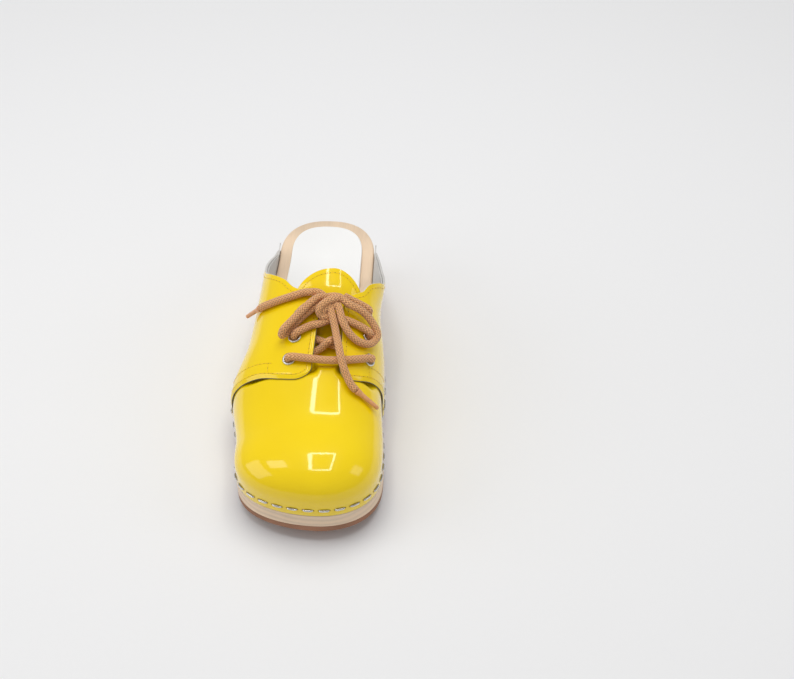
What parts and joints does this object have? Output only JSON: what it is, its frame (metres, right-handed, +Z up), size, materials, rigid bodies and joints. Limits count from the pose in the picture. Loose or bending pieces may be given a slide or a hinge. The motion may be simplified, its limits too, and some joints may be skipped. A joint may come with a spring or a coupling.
{
  "type": "wooden clog",
  "caption": "Laced open-backed clog for the right foot: wooden heeled sole on rubber treads, patent-leather upper held by wire staples, tan laces through nickel eyelets",
  "frame": {"origin": "centre of the clog's box in plan, on the ground plane under the treads", "axes": "+Z up, -Y towards the toe, +Y towards the heel, +X towards the inner side of the foot"},
  "size_m": [0.1068, 0.2515, 0.0991],
  "materials": {
    "wood": "clear-lacquered alder, fine straight grain, satin",
    "rubber": "tan-brown outsole rubber, matt, fine texture",
    "insole": "smooth white sock lining, matt",
    "patent_leather": "yellow patent leather, high gloss, stitched tone on tone",
    "lining": "light grey lining leather, matt",
    "nickel": "nickel-plated steel, lightly worn",
    "lace": "round braided waxed cotton lace, tan",
    "aglet": "tan lace tip, smooth"
  },
  "bodies": {
    "root": {"wooden_sole": "wood", "forepart_tread": "rubber", "heel_tread": "rubber", "insole_sock": "insole", "vamp_and_tongue": "patent_leather", "vamp_lining": "lining", "quarter_outer": "patent_leather", "quarter_lining_outer": "lining", "quarter_inner": "patent_leather", "quarter_lining_inner": "lining", "eyelet_outer_1": "nickel", "eyelet_outer_2": "nickel", "eyelet_outer_3": "nickel", "eyelet_inner_1": "nickel", "eyelet_inner_2": "nickel", "eyelet_inner_3": "nickel", "staple_01": "nickel", "staple_02": "nickel", "staple_03": "nickel", "staple_04": "nickel", "staple_05": "nickel", "staple_06": "nickel", "staple_07": "nickel", "staple_08": "nickel", "staple_09": "nickel", "staple_10": "nickel", "staple_11": "nickel", "staple_12": "nickel", "staple_13": "nickel", "staple_14": "nickel", "staple_15": "nickel", "staple_16": "nickel", "staple_17": "nickel", "staple_18": "nickel", "staple_19": "nickel", "staple_20": "nickel", "staple_21": "nickel", "staple_22": "nickel", "staple_23": "nickel", "staple_24": "nickel", "staple_25": "nickel", "staple_26": "nickel", "staple_27": "nickel", "staple_28": "nickel", "staple_29": "nickel", "staple_30": "nickel", "staple_31": "nickel", "staple_32": "nickel", "staple_33": "nickel", "lace_runs": "lace", "lace_knot": "lace", "lace_loop_outer": "lace", "lace_loop_inner": "lace", "lace_tail_outer": "lace", "lace_tail_inner": "lace", "aglet_outer": "aglet", "aglet_inner": "aglet"}
  },
  "joints": []
}
